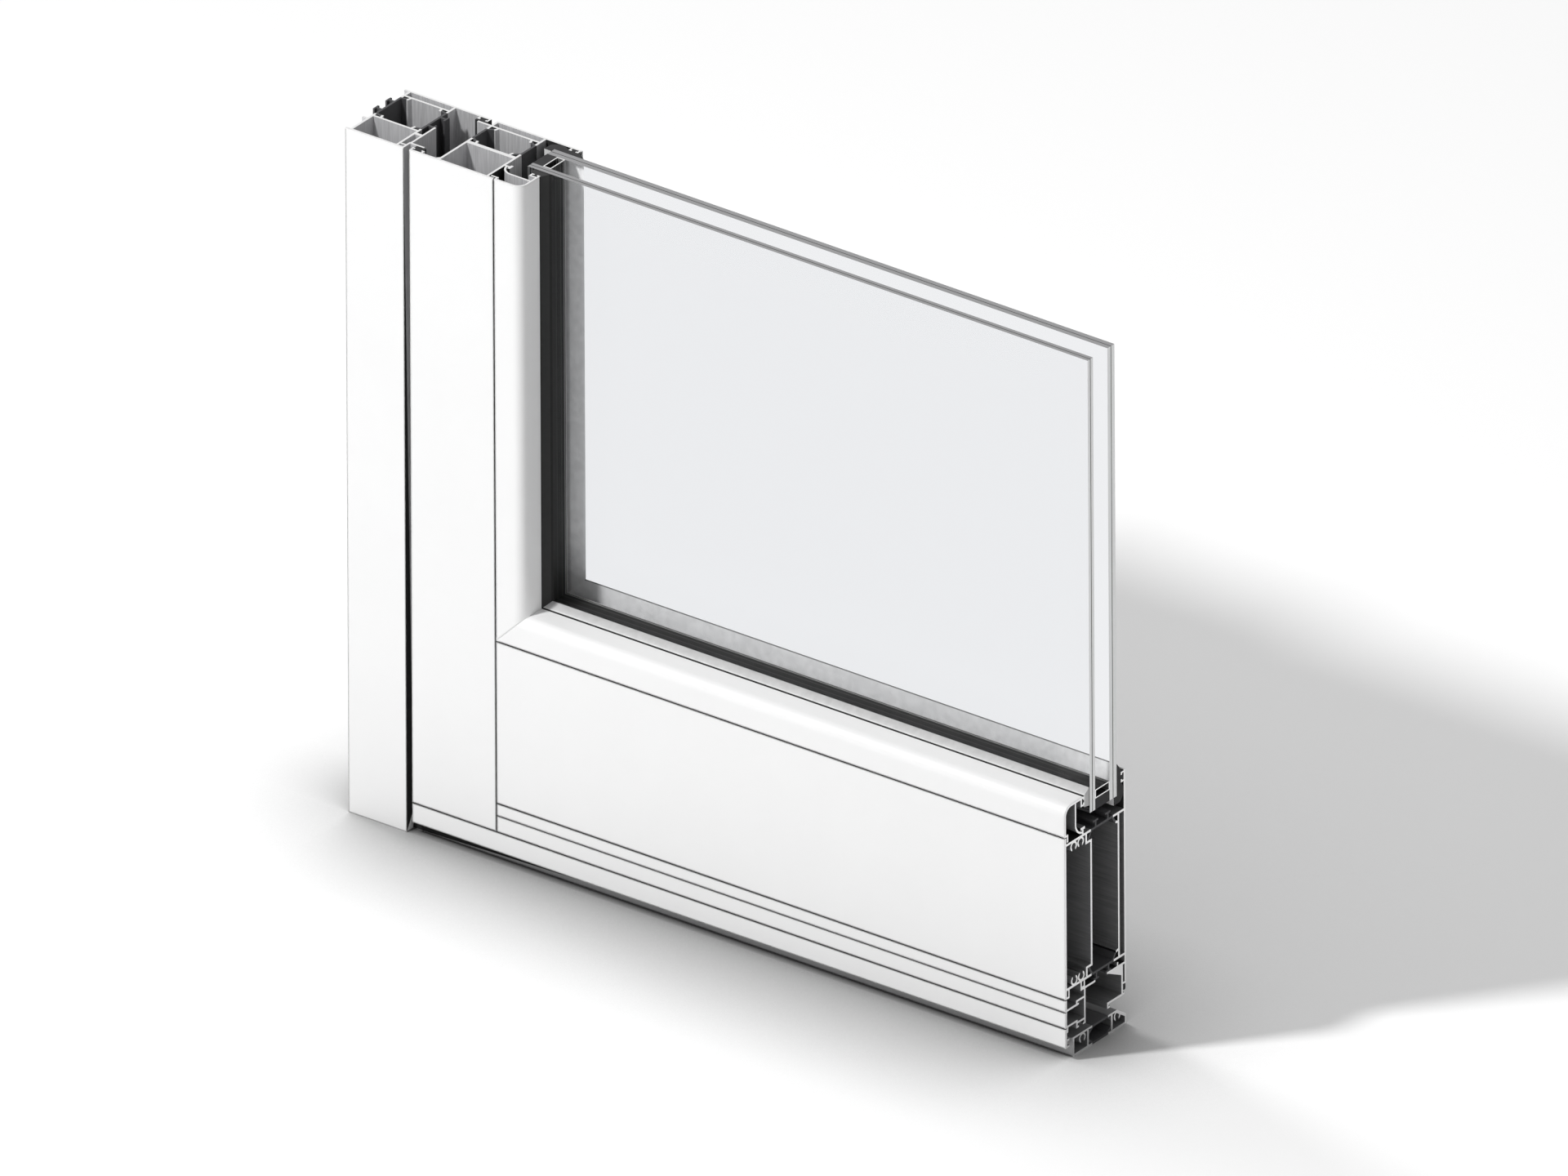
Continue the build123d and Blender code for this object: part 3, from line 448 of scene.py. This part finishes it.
def solid_shapes():
    """One tree of all pieces that light doesn't pass, and the name of each face's node."""
    points, faces, owners = [], [], []
    for name, node in nodes.items():
        if not slot_of[name].startswith("clear"):
            start = len(points)
            points += [v.co.copy() for v in node.data.vertices]
            faces += [[start + i for i in f.vertices] for f in node.data.polygons]
            owners += [name] * len(node.data.polygons)
    return BVHTree.FromPolygons(points, faces), owners


def long_axis(mesh):
    """The axis that a profile was extruded along."""
    places = [[v.co[i] for v in mesh.vertices] for i in range(3)]
    spans = [max(place) - min(place) for place in places]
    return Vector([float(i == spans.index(max(spans))) for i in range(3)])


def cast(face, ray, reach, shapes):
    return shapes.ray_cast(face.center + face.normal * TOUCH, ray, reach)


def open_share(face, axis, shapes):
    """Share of a fan of rays across the section that leave a face freely."""
    rays = [Matrix.Rotation(turn, 3, axis) @ face.normal for turn in FAN]
    return sum(cast(face, ray, FAN_REACH, shapes)[0] is None for ray in rays) / len(FAN)


def in_joint(name, face, shapes, owners):
    """True on the wall of a joint with another piece, or of a slit in this one."""
    hit = cast(face, face.normal, JOINT_WIDTH, shapes)
    return hit[0] is not None and (owners[hit[2]] != name or hit[3] < SLIT_WIDTH)


def dress_profile(name, mesh, shapes, owners):
    """Coat where the powder reached, mill finish inside (darker on level pieces, as painted shade), painted
    shade on the walls of joints, and bright sawn ends.
    """
    axis = long_axis(mesh)
    for material in (coats.get(name, white_coat), mill["Z" if axis.z else "X"], sawn, joint):
        mesh.materials.append(material)
    for face in mesh.polygons:
        if abs(face.normal.dot(axis)) > END_ON:
            face.material_index = 2
        elif in_joint(name, face, shapes, owners):
            face.material_index = 3
        else:
            face.material_index = int(open_share(face, axis, shapes) < COATED_SHARE)


def dress_spacer(mesh):
    """Spacer painted near black as shade, with painted light lines towards its rear, and bright cut ends."""
    mesh.materials.append(spacer_shade_material)
    mesh.materials.append(sawn)
    end, top = [max(v.co[i] for v in mesh.vertices) for i in (0, 2)]
    for face in mesh.polygons:
        face.material_index = int(abs(face.center.x - end) < TOUCH or abs(face.center.z - top) < TOUCH)


def dress_sheet(name, mesh):
    """Glass on a pane's outer faces, ground edges, and nothing to see where the film meets the sheets."""
    for material in (film, *sheet_edges[slot_of[name]], *pane_faces.get(name, (film, film))):
        mesh.materials.append(material)
    front, back = [pick(v.co.y for v in mesh.vertices) for pick in (min, max)]
    for face in mesh.polygons:
        if abs(face.normal.y) < EDGE_ON:
            face.material_index = 2 if abs(face.normal.z) > EDGE_ON else 1
        elif abs(face.center.y - front) < TOUCH:
            face.material_index = 3
        elif abs(face.center.y - back) < TOUCH:
            face.material_index = 4


def dress_seal(mesh, lip):
    """Black rubber, and painted light on the lip that lies flat on the pane, which is pale."""
    mesh.materials.append(finishes["black_gasket"])
    mesh.materials.append(lip)
    for face in mesh.polygons:
        face.material_index = int(face.normal.y < -LIP_ON)


def dress_all():
    shapes, owners = solid_shapes()
    for name, node in nodes.items():
        slot = slot_of[name]
        node.data.materials.clear()
        if slot == "white_coated_aluminium":
            dress_profile(name, node.data, shapes, owners)
        elif slot == "bare_aluminium":
            dress_spacer(node.data)
        elif slot in sheet_edges:
            dress_sheet(name, node.data)
        elif name in lips:
            dress_seal(node.data, lips[name])
        else:
            node.data.materials.append(slopes.get(name, finishes[slot]))
        if slot == "clear_interlayer":
            # The film shows at its trimmed edge, and not through the sheets
            node.visible_transmission = node.visible_diffuse = node.visible_glossy = False


def make_floor():
    low, high = -FLOOR_HALF, FLOOR_HALF
    corners = [(low, low, 0), (high, low, 0), (high, high, 0), (low, high, 0)]
    mesh = bpy.data.meshes.new("studio_floor")
    mesh.from_pydata(corners, [], [(0, 1, 2, 3)])
    mesh.materials.append(floor_material())
    floor = bpy.data.objects.new("studio_floor", mesh)
    bpy.context.scene.collection.objects.link(floor)


def hang(name, lamp):
    """A lamp that isn't itself seen through the panes."""
    lamp_object = bpy.data.objects.new(name, lamp)
    lamp_object.visible_transmission = False
    bpy.context.scene.collection.objects.link(lamp_object)
    return lamp_object


def make_key():
    """A near soft lamp whose light is as strong at every distance."""
    lamp = bpy.data.lights.new("key", "POINT")
    lamp.energy = KEY_POWER
    lamp.shadow_soft_size = KEY_RADIUS
    lamp.use_nodes = True
    tree = lamp.node_tree
    tree.nodes.clear()
    falloff = tree.nodes.new("ShaderNodeLightFalloff")
    falloff.inputs["Strength"].default_value = 1.0
    emission = tree.nodes.new("ShaderNodeEmission")
    out = tree.nodes.new("ShaderNodeOutputLight")
    tree.links.new(falloff.outputs["Constant"], emission.inputs["Strength"])
    tree.links.new(emission.outputs[0], out.inputs["Surface"])
    hang("key", lamp).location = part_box("jamb_front")[0] + Vector(KEY_FROM_CORNER)


def make_fill():
    lamp = bpy.data.lights.new("fill", "SUN")
    lamp.energy = FILL_STRENGTH
    lamp.angle = FILL_ANGLE
    fill = hang("fill", lamp)
    fill.rotation_mode = "QUATERNION"
    fill.rotation_quaternion = Vector(FILL_TRAVEL).to_track_quat("-Z", "Y")


def make_sky():
    """Pale where the camera, gloss or glass sees it, and a plain level of light elsewhere."""
    world = bpy.data.worlds.new("studio")
    world.use_nodes = True
    tree = world.node_tree
    tree.nodes.clear()
    rays = tree.nodes.new("ShaderNodeLightPath")
    seen = rays.outputs["Is Camera Ray"]
    for kind in ("Is Glossy Ray", "Is Transmission Ray"):
        either = tree.nodes.new("ShaderNodeMath")
        either.operation = "MAXIMUM"
        tree.links.new(seen, either.inputs[0])
        tree.links.new(rays.outputs[kind], either.inputs[1])
        seen = either.outputs[0]
    level = tree.nodes.new("ShaderNodeMapRange")
    level.inputs["To Min"].default_value = SKY_STRENGTH
    level.inputs["To Max"].default_value = 1.0
    tree.links.new(seen, level.inputs["Value"])
    background = tree.nodes.new("ShaderNodeBackground")
    background.inputs["Color"].default_value = SKY_TONE
    tree.links.new(level.outputs["Result"], background.inputs["Strength"])
    out = tree.nodes.new("ShaderNodeOutputWorld")
    tree.links.new(background.outputs[0], out.inputs["Surface"])
    bpy.context.scene.world = world


def make_camera():
    a, e = CAMERA_AZIMUTH, CAMERA_ELEVATION
    right = Vector((math.cos(a), math.sin(a), 0.0))
    back = Vector((math.sin(a) * math.cos(e), -math.cos(a) * math.cos(e), math.sin(e)))
    up = back.cross(right)
    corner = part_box("jamb_front")[0]
    turned = Matrix((right, up, back)).transposed() @ Matrix.Rotation(CAMERA_ROLL, 3, "Z")
    data = bpy.data.cameras.new("camera")
    data.type = "ORTHO"
    data.ortho_scale = CAMERA_SCALE
    camera = bpy.data.objects.new("camera", data)
    camera.matrix_world = turned.to_4x4()
    camera.location = corner + right * AIM_RIGHT + up * AIM_UP + back * CAMERA_DISTANCE
    bpy.context.scene.collection.objects.link(camera)
    bpy.context.scene.camera = camera


dress_all()
make_floor()
make_key()
make_fill()
make_sky()
make_camera()
# Light meets many clear faces on its way through both panes to the lip and back
bpy.context.scene.cycles.transparent_max_bounces = TRANSPARENT_BOUNCES
bpy.context.scene.view_settings.view_transform = "Standard"
